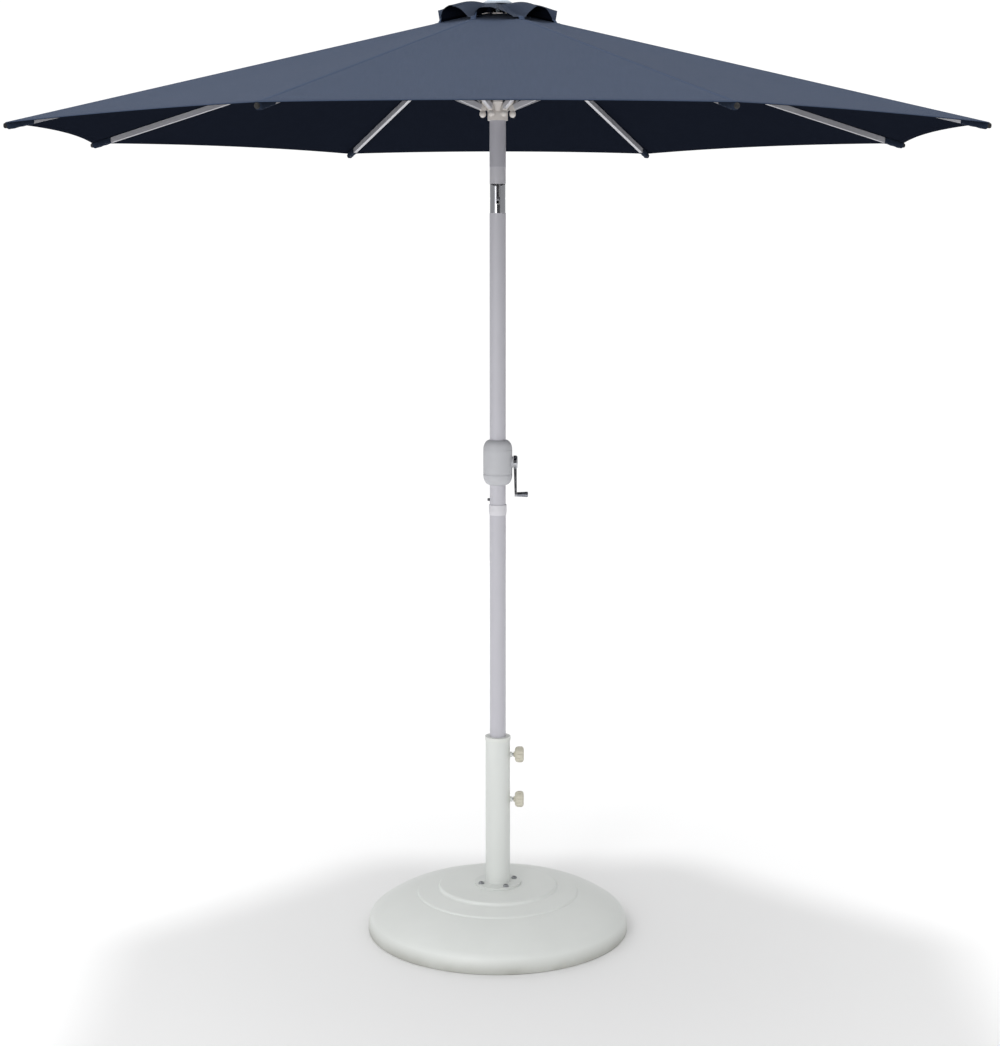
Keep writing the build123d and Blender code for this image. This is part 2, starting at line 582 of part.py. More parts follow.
def crown_hub():
    """Crown on the top of the mast, with a slot and a pin hole for every rib."""
    hub = disc(2 * CROWN_RADIUS, CROWN_BOTTOM_Z, CROWN_TOP_Z)
    hub = fillet(hub.edges().filter_by(GeomType.CIRCLE).sort_by(Axis.Z)[-1], 3.0)
    hub += disc(UPPER_POLE_DIAMETER + 8, CROWN_BOTTOM_Z - 8, CROWN_BOTTOM_Z)
    hub -= disc(UPPER_POLE_DIAMETER, CROWN_BOTTOM_Z - 9, UPPER_POLE_TOP_Z)
    slot_x = (CROWN_SLOT_FLOOR_RADIUS, CROWN_RADIUS + 5)
    slot = block(slot_x, (-5, 5), (CROWN_BOTTOM_Z - 20, CROWN_TOP_Z + 1))
    pin_hole = rod_y(PIVOT_PIN_DIAMETER, -CROWN_PIN_HALF, CROWN_PIN_HALF, x=RIB_PIVOT_RADIUS, z=RIB_PIVOT_Z)
    for azimuth in RIB_AZIMUTHS:
        hub -= Rot(0, 0, azimuth) * (slot + pin_hole)
    return hub


def crown_pins():
    pin = rod_y(PIVOT_PIN_DIAMETER, -CROWN_PIN_HALF, CROWN_PIN_HALF, x=RIB_PIVOT_RADIUS, z=RIB_PIVOT_Z)
    return [Rot(0, 0, azimuth) * pin for azimuth in RIB_AZIMUTHS]


def finial():
    """Domed cap and its stem, which holds the vent's centre to the crown."""
    rim, bottom = FINIAL_DIAMETER / 2, VENT_TOP_Z
    stem = FINIAL_STEM_DIAMETER / 2
    crown_z = bottom + FINIAL_RIM
    rise = FINIAL_TOP_Z - crown_z
    dome_radius = (rim**2 + rise**2) / (2 * rise)
    half_way = asin(rim / dome_radius) / 2
    shoulder_z = FINIAL_TOP_Z - dome_radius * (1 - cos(half_way))
    shoulder = dome_radius * sin(half_way), shoulder_z
    outline = [
        Polyline((0, CROWN_TOP_Z), (stem, CROWN_TOP_Z), (stem, bottom), (rim, bottom), (rim, crown_z)),
        ThreePointArc((rim, crown_z), shoulder, (0, FINIAL_TOP_Z)),
        Line((0, FINIAL_TOP_Z), (0, CROWN_TOP_Z)),
    ]
    return revolve(Plane.XZ * make_face(outline), Axis.Z)


# ---- runner, ribs and stretchers -----------------------------------------------------------

def runner():
    """Sliding collar that flares into eight teeth, with a slot for every stretcher between them."""
    bore = UPPER_POLE_DIAMETER / 2 + FREE
    collar = RUNNER_COLLAR_DIAMETER / 2
    body = turned(
        (bore, RUNNER_BOTTOM_Z), (collar, RUNNER_BOTTOM_Z), (collar, RUNNER_FLARE_Z),
        (RUNNER_RIM_RADIUS, RUNNER_RIM_Z), (RUNNER_RIM_RADIUS, RUNNER_TOP_Z), (bore, RUNNER_TOP_Z),
    )
    slot_half = STRETCHER_WIDTH / 2 + 1.2
    slot_x = (RUNNER_SLOT_RADIUS, RUNNER_RIM_RADIUS + 5)
    slot = block(slot_x, (-slot_half, slot_half), (RUNNER_FLARE_Z - 5, RUNNER_TOP_Z + 1))
    for azimuth in RIB_AZIMUTHS:
        body -= Rot(0, 0, azimuth) * slot
    return body


def rib_pieces():
    """One rib along +X from its pivot: tube, root fitting, tip cap, clevis and clevis rivet."""
    half_width = RIB_WIDTH / 2
    width, height = (-half_width, half_width), (-RIB_BELOW_PIVOT, RIB_ABOVE_PIVOT)
    bore_width, bore_height = [(low + RIB_WALL, high - RIB_WALL) for low, high in (width, height)]
    start, end = 20.0, RIB_LENGTH - 12
    rib_tube = block((start, end), width, height) - block((start - 1, end + 1), bore_width, bore_height)

    root = rod_y(16, *bore_width) + block((0, start), bore_width, (-7, 7))
    root += block((start, start + 30), bore_width, bore_height)
    root -= rod_y(PIVOT_PIN_DIAMETER + 2 * RUNNING, -5, 5)

    cap = block((end, RIB_LENGTH), width, height)
    cap = fillet(cap.faces().sort_by(Axis.X)[-1].edges(), 3.0)
    cap += block((end - 20, end), bore_width, bore_height)

    along, below, plate = CLEVIS_ALONG_RIB, -CLEVIS_BELOW_RIB, 1.5
    clevis = block((along - 15, along + 15), (-half_width - plate, half_width + plate), (-15, 8))
    clevis += rod_y(16, -half_width - plate, half_width + plate, x=along, z=below)
    clevis -= block((along - 16, along + 16), width, (below - 10, 9))
    clevis -= rod_y(5, -20, 20, x=along, z=below)
    rivet = rod_y(5, -half_width - 2.5, half_width + 2.5, x=along, z=below)
    return rib_tube, root, cap, clevis.solids(), rivet


def stretcher():
    """One stretcher along +X from the runner pivot, with a ball below its inner knuckle."""
    half = STRETCHER_WIDTH / 2
    bar = block((4, STRETCHER_LENGTH - 3), (-half, half), (-STRETCHER_HEIGHT / 2, STRETCHER_HEIGHT / 2))
    inner = rod_y(17, -half, half)
    outer = rod_y(STRETCHER_HEIGHT, -half, half, x=STRETCHER_LENGTH)
    ball = Rot(0, STRETCHER_ANGLE, 0) * Pos(0, 0, -15.5) * Sphere(8.25)
    return bar + inner + outer + ball - rod_y(5 + 2 * RUNNING, -20, 20, x=STRETCHER_LENGTH)


# ---- canopy --------------------------------------------------------------------------------

def pyramid_z(radius):
    """Height of the canopy's top surface over a rib."""
    return CANOPY_PEAK_Z - CANOPY_SLOPE * radius


def canopy_panel():
    """The cloth carried by the rib on +X, from mid-gore to mid-gore."""
    radii = CANOPY_RADIUS, CANOPY_HOLE_RADIUS / 2
    top = octagon_frustum(radii[0], pyramid_z(radii[0]), radii[1], pyramid_z(radii[1]))
    cloth = top - Pos(0, 0, -CLOTH) * top
    cloth -= disc(2 * CANOPY_HOLE_RADIUS, VENT_HEM_Z - 200, VENT_TOP_Z)
    half_hem = CANOPY_RADIUS * sin(pi / RIBS)
    hollow_radius = (half_hem**2 + HEM_HOLLOW**2) / (2 * HEM_HOLLOW)
    hollow_place = Pos(HEM_DISTANCE - HEM_HOLLOW + hollow_radius, 0, pyramid_z(CANOPY_RADIUS))
    hollow = hollow_place * Cylinder(hollow_radius, 100)
    for azimuth in (0, RIB_STEP):
        cloth -= Rot(0, 0, azimuth) * hollow
    reach = 2 * CANOPY_RADIUS
    half_gore = radians(RIB_STEP / 2)
    corner = SEAM_GAP / sin(half_gore), 0
    side = reach * tan(half_gore)
    wedge = make_face(Polyline(corner, (corner[0] + reach, side), (corner[0] + reach, -side), close=True))
    wedge = Rot(0, 0, RIB_STEP / 2) * Pos(0, 0, 2000) * extrude(wedge, 600)
    return Rot(0, 0, -RIB_STEP / 2) * (cloth & wedge)


def vent_cap():
    """Small upper canopy over the vent opening, held at its centre by the finial."""
    top = octagon_frustum(VENT_RADIUS, VENT_HEM_Z, VENT_TOP_RADIUS, VENT_TOP_Z)
    cloth = top - Pos(0, 0, -CLOTH) * top
    return cloth - disc(FINIAL_STEM_DIAMETER, VENT_HEM_Z - 10, VENT_TOP_Z + 10)


# ---- write every node ----------------------------------------------------------------------

def main():
    os.makedirs("parts", exist_ok=True)

    save("base_shell", base_shell())
    save("base_weight", base_weight())
    save("base_feet", *base_feet())
    save("base_tube", base_tube())
    save("flange_bolts", *flange_bolts())
    save("tube_collar", tube_collar())
    save("tube_bush", tube_bush())
    for place, height in KNOB_HEIGHTS_Z.items():
        save(f"{place}_clamp_stud", clamp_stud(height))
        save(f"{place}_clamp_knob", clamp_knob(height))

    save("lower_pole", lower_pole())
    save("pole_collar", pole_collar())
    save("snap_button", snap_button())
    save("button_spring", button_spring())
    save("main_pole", main_pole())

    front, rear = crank_housing()
    save("crank_housing_front", front)
    save("crank_housing_rear", rear)
    save("housing_screws", *housing_screws())
    save("cord_spool", cord_spool())
    save("crank_arm", crank_arm())
    save("crank_grip", crank_grip())

    save("tilt_lower_knuckle", tilt_lower_knuckle())
    save("tilt_upper_knuckle", tilt_upper_knuckle())
    save("tilt_pin", tilt_pin())
    save("upper_pole", upper_pole())
    save("cord_pulley", cord_pulley())
    save("pulley_axle", pulley_axle())
    save("crown_hub", crown_hub())
    save("crown_pins", *crown_pins())
    save("finial", finial())
    save("vent_cap", vent_cap())
    save("runner", runner())

    rib_tube, root, cap, clevis, rivet = rib_pieces()
    bar, panel = stretcher(), canopy_panel()
    for number, azimuth in enumerate(RIB_AZIMUTHS, start=1):
        pieces = (rib_tube, root, cap, *clevis, rivet)
        save(f"rib_{number}", *[on_rib(piece, azimuth) for piece in pieces])
        save(f"stretcher_{number}", on_stretcher(bar, azimuth))
        save(f"canopy_panel_{number}", Rot(0, 0, azimuth) * panel)


main()
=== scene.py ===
"""Looks of a market umbrella with a weighted base: sewn cloth, finishes, studio and camera.

The cloth is eight pieces, one on every rib, that meet in the middle of each gore,
so that the canopy is one surface when it is open; each piece rides on its rib as it closes.
A place on the cloth is given by its radius, measured along the ribs, and its share: 0 on the
rib, and -1 or 1 in the middle of the gore on either side of it.
"""

import json
from math import atan2, copysign, cos, hypot, log, pi, radians, sin, sqrt

import bmesh
import bpy
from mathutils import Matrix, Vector, noise


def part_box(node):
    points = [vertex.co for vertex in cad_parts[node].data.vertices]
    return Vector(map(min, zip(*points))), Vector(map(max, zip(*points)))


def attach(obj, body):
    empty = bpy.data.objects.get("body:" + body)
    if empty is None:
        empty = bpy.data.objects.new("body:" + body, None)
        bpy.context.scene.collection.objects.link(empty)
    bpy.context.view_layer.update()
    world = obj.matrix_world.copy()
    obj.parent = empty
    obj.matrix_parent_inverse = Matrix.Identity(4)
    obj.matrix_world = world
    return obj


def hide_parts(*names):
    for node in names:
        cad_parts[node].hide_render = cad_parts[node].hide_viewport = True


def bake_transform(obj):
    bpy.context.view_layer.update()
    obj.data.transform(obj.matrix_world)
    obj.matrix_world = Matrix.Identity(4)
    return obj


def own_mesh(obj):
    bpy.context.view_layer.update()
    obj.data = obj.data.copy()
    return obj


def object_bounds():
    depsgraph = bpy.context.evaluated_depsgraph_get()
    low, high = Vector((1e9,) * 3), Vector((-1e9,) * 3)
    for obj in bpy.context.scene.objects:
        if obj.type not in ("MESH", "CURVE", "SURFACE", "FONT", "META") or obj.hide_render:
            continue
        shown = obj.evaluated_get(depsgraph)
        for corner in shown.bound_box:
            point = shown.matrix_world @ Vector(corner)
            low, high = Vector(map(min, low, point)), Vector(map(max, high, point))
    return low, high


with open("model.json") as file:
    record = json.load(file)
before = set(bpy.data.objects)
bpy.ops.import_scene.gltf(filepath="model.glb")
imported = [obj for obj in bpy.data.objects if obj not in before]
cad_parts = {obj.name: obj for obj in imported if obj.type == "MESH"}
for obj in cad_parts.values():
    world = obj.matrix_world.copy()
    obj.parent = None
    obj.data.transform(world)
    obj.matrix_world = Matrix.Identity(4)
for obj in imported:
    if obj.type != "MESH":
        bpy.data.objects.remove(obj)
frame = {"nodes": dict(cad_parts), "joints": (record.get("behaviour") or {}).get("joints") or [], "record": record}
cad_low, cad_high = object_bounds()

# ---- dimensions ---------------------------------------------------------------------------

RIBS = 8
HALF_GORE = pi / RIBS
CLOTH = 0.0009

panel_low, panel_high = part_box("canopy_panel_1")
HEM_RADIUS = cad_high.x / cos(HALF_GORE)
HOLE_RADIUS = 0.070  # edge of the opening under the vent
HEM_Z = panel_low.z + CLOTH
SLOPE = (panel_high.z - HEM_Z) / (HEM_RADIUS - HOLE_RADIUS)
HEM_HOLLOW = 0.022  # how far the hem curves in between ribs
SAG = 0.006  # how far the cloth sinks between ribs
RIB_SEAT = 0.009  # half the width of the strip that lies flat on a rib

# Cross-sections of the sewn bands: distance across the band, and height above the cloth.
HEM_PROFILE = (
    (0.017, -0.0002), (0.0165, 0.0006), (0.008, 0.0007), (0.001, 0.0006), (0.0, -0.0004),
    (0.001, -0.0015), (0.008, -0.0017), (0.0165, -0.0016), (0.017, -0.0007),
)
HEM_FOLD = 4  # place in the profile where the hem turns under
HEM_PROUD = 0.0012  # how far the fold stands past the cloth's edge
SEAM_PROFILE = (
    (0.0, -0.0003), (0.0006, 0.0004), (0.0045, 0.0006), (0.0065, 0.0006), (0.0085, 0.0006),
    (0.0124, 0.0004), (0.013, -0.0003),
)
TIE_PROFILE = (
    (0.0, -0.0006), (0.0008, 0.0009), (0.008, 0.0012), (0.0152, 0.0009), (0.016, -0.0006),
)
TIE_REACH = 0.012  # how far a tie runs to each side of the vent's hem
TIE_STEP = 0.004  # length over which it steps down from the vent to the canopy

vent_low, vent_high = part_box("vent_cap")
VENT_RADIUS = vent_high.x / cos(HALF_GORE)
VENT_INNER_RADIUS = 0.030
VENT_ARCH = 0.030  # height of the openings between the ribs
VENT_PUFF = 0.010  # how far the cloth swells between ribs, halfway up
VENT_SINK = 0.007  # how far the cloth sinks along a rib, between the finial and its tie
VENT_LEAN = 0.006  # how far an arch leans out
VENT_CRESTS = (0.46, 0.55, 0.50, 0.42, 0.36, 0.27, 0.50, 0.56)  # where each opening is highest
VENT_LIFTS = (1.05, 1.0, 0.95, 1.1, 1.12, 0.80, 1.0, 1.08)  # each opening's share of VENT_ARCH
VENT_TIED = 0.10  # share of a gore that lies flat beside each rib

RIB_DEPTH = 0.0145
RIB_WIDTH = 0.010
RIB_TOP_GAP = 0.0004  # between the top of the cloth and what lies under it
POCKET_LENGTH = 0.066
POCKET_SLACK_ASIDE = 0.0022
POCKET_SLACK_DOWN = 0.0035
POCKET_GIRTH = 0.05
POCKET_CLOTH = 0.0007
PLUG_SLACK = 0.0015
PLUG_GIRTH = 0.04
# The plug's outline: distance past the hem's corner, and size against the rib.
PLUG_PROFILE = (
    (-0.004, 0.8), (0.0, 0.86), (0.002, 0.86), (0.0042, 0.74), (0.0052, 0.45), (0.0054, 0.02),
)

BAND_HEIGHT = 2.022  # above it, the tilt joint's sleeve is painted
SLEEVE_RADIUS = 0.125  # nearer to the mast than this, the stretchers have nylon sleeves

FLOOR_REACH = 6.0
SKY_LOW = 0.98  # brightness of the surroundings at eye level
SKY_HIGH = 1.42  # and overhead
SKY_SIDES = 0.4  # share of that light at the sides
BACKDROP = 1.05
ROOM = 0.5  # brightness of what metal mirrors
ROOM_WINDOW = 1.1  # added by the window
ROOM_DARK = 0.4  # taken away by the dark strip

MAST_X = 0.006  # how far the mast stands to the left of the camera
CAMERA_DISTANCE = 5.0
CAMERA_HEIGHT = 1.882
CAMERA_PITCH = 8.58
CAMERA_LENS = 64.95


# ---- material nodes -----------------------------------------------------------------------


class Nodes:
    """Short ways to add nodes to a tree."""

    def __init__(self, tree):
        self.tree = tree

    def add(self, kind, sockets, **settings):
        """A new node; sockets maps its inputs to values or to other nodes' outputs."""
        node = self.tree.nodes.new(kind)
        for name, value in settings.items():
            setattr(node, name, value)
        for key, value in sockets.items():
            if isinstance(value, bpy.types.NodeSocket):
                self.tree.links.new(value, node.inputs[key])
            else:
                node.inputs[key].default_value = value
        return node

    def math(self, operation, first, second=0.0, third=0.0):
        sockets = {0: first, 1: second, 2: third}
        return self.add("ShaderNodeMath", sockets, operation=operation).outputs[0]

    def span(self, value, low, high, to_low=0.0, to_high=1.0):
        """Map a value's range onto another range, with its ends cut off."""
        sockets = {"Value": value, 1: low, 2: high, 3: to_low, 4: to_high}
        return self.add("ShaderNodeMapRange", sockets).outputs[0]


class Finish(Nodes):
    """A material with a Principled shader."""

    def __init__(self, name, roughness, metallic=0.0, specular=0.5):
        self.material = bpy.data.materials.new(name)
        self.material.use_nodes = True
        super().__init__(self.material.node_tree)
        self.shader = self.tree.nodes["Principled BSDF"]
        self.shader.inputs["Roughness"].default_value = roughness
        self.shader.inputs["Metallic"].default_value = metallic
        self.shader.inputs["Specular IOR Level"].default_value = specular

    def place(self):
        """Position on the object, in metres."""
        return self.add("ShaderNodeTexCoord", {}).outputs["Object"]

    def pattern(self):
        """Position on the flat cloth, in metres, from the piece's UV map."""
        return self.add("ShaderNodeTexCoord", {}).outputs["UV"]

    def stretch(self, vector, scale):
        return self.add("ShaderNodeMapping", {"Vector": vector, "Scale": scale}).outputs[0]

    def noise(self, vector, scale, detail=2.0):
        node = self.add("ShaderNodeTexNoise", {"Vector": vector, "Scale": scale, "Detail": detail})
        return node.outputs["Fac"]

    def mix(self, factor, first, second):
        """Mix two colours."""
        sockets = {0: factor, 6: first, 7: second}
        return self.add("ShaderNodeMix", sockets, data_type="RGBA").outputs[2]

    def tint(self, factor, colour, spread):
        """A colour that varies in lightness by a share of itself."""
        return self.mix(factor, shade(colour, 1 - spread), shade(colour, 1 + spread))

    def feed(self, name, socket):
        self.tree.links.new(socket, self.shader.inputs[name])

    def bump(self, height, distance, strength=1.0):
        sockets = {"Height": height, "Distance": distance, "Strength": strength}
        self.feed("Normal", self.add("ShaderNodeBump", sockets).outputs[0])


def colour(red, green, blue):
    """Linear colour from screen values of 0 to 255."""
    def linear(value):
        share = value / 255
        return share / 12.92 if share <= 0.04045 else ((share + 0.055) / 1.055) ** 2.4
    return (linear(red), linear(green), linear(blue), 1.0)


def shade(rgba, factor):
    return tuple(min(1.0, part * factor) for part in rgba[:3]) + (1.0,)


# ---- finishes -----------------------------------------------------------------------------


def powder_coat(name, base, roughness=0.42, peel=0.00012):
    """Baked powder paint: slight orange peel, and dust that dulls it in places."""
    finish = Finish(name, roughness)
    place = finish.place()
    peel_noise = finish.noise(place, 900.0, 1.0)
    cloud = finish.noise(place, 7.0, 4.0)
    finish.feed("Base Color", finish.tint(cloud, base, 0.035))
    finish.feed("Roughness", finish.span(cloud, 0.3, 0.7, roughness - 0.06, roughness + 0.08))
    finish.bump(peel_noise, peel)
    return finish.material


def moulded_plastic(name, base, roughness=0.5, grain=0.00008, scale=1600.0):
    """Injection moulding: fine spark-eroded grain, faint flow clouds and handling wear."""
    finish = Finish(name, roughness, specular=0.4)
    place = finish.place()
    cloud = finish.noise(place, 14.0, 3.0)
    scuff = finish.noise(finish.stretch(place, (1.0, 1.0, 6.0)), 60.0, 5.0)
    finish.feed("Base Color", finish.tint(cloud, base, 0.04))
    finish.feed("Roughness", finish.span(scuff, 0.35, 0.7, roughness - 0.08, roughness + 0.1))
    finish.bump(finish.noise(place, scale, 1.0), grain)
    return finish.material


def resin_shell(name):
    """Off-white shell of the base, with a faint sprayed texture, and painted shade that darkens it in patches near
    the floor.
    """
    finish = Finish(name, 0.34, specular=0.55)
    place = finish.place()
    height = finish.add("ShaderNodeSeparateXYZ", {"Vector": place}).outputs["Z"]
    mottle = finish.noise(place, 11.0, 5.0)
    clean = finish.tint(mottle, colour(229, 232, 229), 0.03)
    # Painted shade: the colour darkens to grey towards the bottom edge, in patches.
    shade_patches = finish.span(mottle, 0.3, 0.7, 0.6, 0.9)
    low = finish.math("MULTIPLY", finish.span(height, 0.002, 0.04), shade_patches)
    low = finish.math("SUBTRACT", shade_patches, low)
    finish.feed("Base Color", finish.mix(low, clean, colour(160, 160, 152)))
    finish.feed("Roughness", finish.span(mottle, 0.3, 0.7, 0.36, 0.42))
    finish.bump(finish.noise(place, 420.0, 3.0), 0.00018)
    return finish.material


def concrete(name):
    """Cast slab: sand, cement clouds and small air holes."""
    finish = Finish(name, 0.92, specular=0.2)
    place = finish.place()
    cloud = finish.noise(place, 9.0, 6.0)
    holes = finish.add("ShaderNodeTexVoronoi", {"Vector": place, "Scale": 90.0}).outputs["Distance"]
    pits = finish.span(holes, 0.08, 0.2)
    sand = finish.tint(finish.noise(place, 700.0, 2.0), colour(150, 147, 141), 0.18)
    cement = finish.span(cloud, 0.3, 0.7, 0.0, 0.6)
    finish.feed("Base Color", finish.mix(cement, sand, colour(128, 125, 120)))
    finish.bump(pits, 0.0015)
    return finish.material


def rubber(name):
    """Black rubber, pale with dust in places."""
    finish = Finish(name, 0.82, specular=0.25)
    place = finish.place()
    dust = finish.span(finish.noise(place, 45.0, 4.0), 0.4, 0.8)
    finish.feed("Base Color", finish.mix(dust, colour(38, 38, 39), colour(82, 80, 77)))
    finish.bump(finish.noise(place, 1200.0, 1.0), 0.0001)
    return finish.material


def zinc(name):
    """Galvanised steel with its spangle."""
    finish = Finish(name, 0.36, metallic=1.0)
    place = finish.place()
    cells = finish.add("ShaderNodeTexVoronoi", {"Vector": place, "Scale": 420.0}).outputs["Color"]
    grey = finish.add("ShaderNodeRGBToBW", {"Color": cells}).outputs[0]
    finish.feed("Base Color", finish.tint(grey, colour(176, 178, 182), 0.12))
    finish.feed("Roughness", finish.span(grey, 0.0, 1.0, 0.26, 0.46))
    return finish.material


def chrome(name, base=(196, 198, 204), roughness=0.09):
    """Bright plating with finger marks and hairline scratches."""
    finish = Finish(name, roughness, metallic=1.0)
    place = finish.place()
    marks = finish.noise(place, 55.0, 4.0)
    hairs = finish.noise(finish.stretch(place, (900.0, 900.0, 40.0)), 1.0, 2.0)
    finish.feed("Base Color", finish.tint(marks, colour(*base), 0.05))
    finish.feed("Roughness", finish.span(marks, 0.45, 0.8, roughness, roughness + 0.16))
    finish.bump(hairs, 0.00002)
    return finish.material


def drawn_metal(name, base, roughness=0.38):
    """Drawn tube under a thin clear paint, with small scuffs."""
    finish = Finish(name, roughness, metallic=0.35)
    place = finish.place()
    scuff = finish.noise(place, 130.0, 5.0)
    cloud = finish.noise(place, 12.0, 3.0)
    worn = finish.span(scuff, 0.66, 0.74, 0.0, 0.5)
    finish.feed("Base Color", finish.mix(worn, finish.tint(cloud, base, 0.05), shade(base, 1.25)))
    finish.feed("Roughness", finish.span(cloud, 0.3, 0.7, roughness - 0.06, roughness + 0.08))
    finish.bump(scuff, 0.00006)
    return finish.material


def nylon(name, base):
    """Natural nylon, slightly translucent, with a fine grain."""
    finish = Finish(name, 0.44, specular=0.45)
    place = finish.place()
    finish.shader.inputs["Subsurface Weight"].default_value = 0.12
    finish.shader.inputs["Subsurface Scale"].default_value = 0.004
    finish.shader.inputs["Subsurface Radius"].default_value = (0.6, 0.55, 0.5)
    finish.feed("Base Color", finish.tint(finish.noise(place, 30.0, 4.0), base, 0.05))
    finish.bump(finish.noise(place, 1100.0, 2.0), 0.00008)
    return finish.material


def woven(name, base, sheen, thread_step=0.0011, specular=0.12):
    """Plain-woven acrylic: two sets of threads, uneven yarns, and soft fading from use."""
    finish = Finish(name, 0.92, specular=specular)
    finish.shader.inputs["Sheen Weight"].default_value = sheen
    finish.shader.inputs["Sheen Roughness"].default_value = 0.5
    flat, place = finish.pattern(), finish.place()
    wave_scale = 2 * pi / 20 / thread_step
    waves = {"Vector": flat, "Scale": wave_scale, "Distortion": 0.4, "Detail": 0.0}
    weft = finish.add("ShaderNodeTexWave", waves, bands_direction="Y").outputs["Fac"]
    warp = finish.add("ShaderNodeTexWave", waves, bands_direction="X").outputs["Fac"]
    weave = finish.math("MULTIPLY", weft, warp)
    long_yarns = finish.noise(finish.stretch(flat, (9.0, 420.0, 1.0)), 1.0, 3.0)
    cross_yarns = finish.noise(finish.stretch(flat, (420.0, 9.0, 1.0)), 1.0, 3.0)
    yarns = finish.math("ADD", long_yarns, cross_yarns)
    fading = finish.span(finish.noise(place, 2.6, 4.0), 0.35, 0.7, 0.0, 0.3)
    plain = finish.tint(finish.span(yarns, 0.7, 1.3), base, 0.13)
    threads = finish.mix(finish.math("MULTIPLY", weave, 0.25), plain, shade(base, 1.3))
    finish.feed("Base Color", finish.mix(fading, threads, shade(base, 1.1)))
    finish.bump(finish.math("ADD", weave, finish.math("MULTIPLY", yarns, 0.8)), 0.00035, 0.8)
    return finish.material


def stitched(name, base, thread, rows, specular=0.12, stitch_pitch=0.0042, half_thread=0.0006):
    """Folded cloth with rows of lock stitch. rows are distances across the band."""
    finish = Finish(name, 0.9, specular=specular)
    flat = finish.pattern()
    along = finish.add("ShaderNodeSeparateXYZ", {"Vector": flat})
    pitch = finish.math("FRACT", finish.math("DIVIDE", along.outputs["X"], stitch_pitch))
    dash = finish.math("LESS_THAN", pitch, 0.72)
    line = finish.math("COMPARE", along.outputs["Y"], rows[0], half_thread)
    for row in rows[1:]:
        other_line = finish.math("COMPARE", along.outputs["Y"], row, half_thread)
        line = finish.math("ADD", line, other_line)
    stitch = finish.math("MULTIPLY", line, dash)
    yarns = finish.noise(finish.stretch(flat, (420.0, 60.0, 1.0)), 1.0, 3.0)
    cloth = finish.tint(yarns, base, 0.14)
    finish.feed("Base Color", finish.mix(stitch, cloth, thread))
    pucker = finish.noise(finish.stretch(flat, (160.0, 20.0, 1.0)), 1.0, 2.0)
    finish.bump(finish.math("ADD", stitch, finish.math("MULTIPLY", pucker, 1.2)), 0.0006, 0.8)
    return finish.material


CANOPY = colour(61, 73, 95)
# Painted shade: the cloth's under side is a near-black copy of the canopy's navy, for the shade beneath the
# canopy; the real cloth is one colour through.
CANOPY_UNDER_SHADED = colour(22, 26, 36)
THREAD = colour(84, 95, 117)

FINISHES = {
    "shell_resin": resin_shell("shell_resin"),
    "concrete": concrete("concrete"),
    "rubber": rubber("rubber"),
    "tube_paint": powder_coat("tube_paint", colour(221, 224, 221)),
    "zinc_steel": zinc("zinc_steel"),
    "collar_plastic": moulded_plastic("collar_plastic", colour(226, 228, 224)),
    "knob_plastic": moulded_plastic("knob_plastic", colour(208, 204, 188), 0.42),
    "pole_paint": powder_coat("pole_paint", colour(194, 193, 200), 0.36),
    "upper_pole_paint": powder_coat("upper_pole_paint", colour(176, 175, 183), 0.4),
    "housing_plastic": moulded_plastic(
        "housing_plastic", colour(191, 192, 196), 0.55, 0.00014, 1200.0),
    "chrome": chrome("chrome", (178, 179, 184)),
    "button_steel": chrome("button_steel", (120, 120, 124), 0.24),
    "grip_plastic": chrome("grip_plastic", (150, 152, 160), 0.2),
    "nylon": nylon("nylon", colour(212, 207, 203)),
    "rib_metal": drawn_metal("rib_metal", colour(186, 186, 192)),
    "finial_plastic": moulded_plastic("finial_plastic", colour(205, 215, 226), 0.4),
}
CLOTH_TOP = woven("canopy_cloth_top", CANOPY, 0.05)
# Painted shade: the under side of the canopy and vent cloth, in the dark copy of the navy.
CLOTH_UNDER_SHADED = woven("canopy_cloth_under_shaded", CANOPY_UNDER_SHADED, 0.0, specular=0.0)
VENT_TOP = woven("vent_cloth_top", shade(CANOPY, 0.62), 0.05)
SEAM = stitched("canopy_seam", shade(CANOPY, 1.08), THREAD, (0.0025, 0.0105))
HEM = stitched("canopy_hem", shade(CANOPY, 0.95), THREAD, (0.0135,))
# Painted shade: the turned-under part of the hem and its thread, in the dark copy of the navy.
HEM_UNDER_SHADED = stitched(
    "canopy_hem_under_shaded", CANOPY_UNDER_SHADED, shade(CANOPY_UNDER_SHADED, 2.0), (0.0135,), specular=0.0)
# Painted shade: the pocket's cloth and thread are darkened copies of the canopy's, for the shade under the
# canopy's edge.
POCKET_SHADED = stitched(
    "corner_pocket", shade(CANOPY, 0.36), shade(THREAD, 0.5), (0.006, 0.044), specular=0.04)
RIB_END = rubber("rib_end")
BAND_PAINT = powder_coat("band_paint", colour(194, 193, 199), 0.4)
COLLAR_PAINT = moulded_plastic("pole_collar", colour(214, 213, 218), 0.45)


def everywhere(place):
    return True


def on_band(place):
    return place.z > BAND_HEIGHT


def off_band(place):
    return place.z <= BAND_HEIGHT


def on_sleeve(place):
    return hypot(place.x, place.y) < SLEEVE_RADIUS


# A node, the finish that some of its faces have instead of their slot's, and which faces they are.
SECOND_FINISHES = [
    ("tilt_upper_knuckle", BAND_PAINT, on_band),
    ("tilt_upper_knuckle", FINISHES["button_steel"], off_band),
    ("pole_collar", COLLAR_PAINT, everywhere),
    *((f"stretcher_{number}", FINISHES["nylon"], on_sleeve) for number in range(1, RIBS + 1)),
]


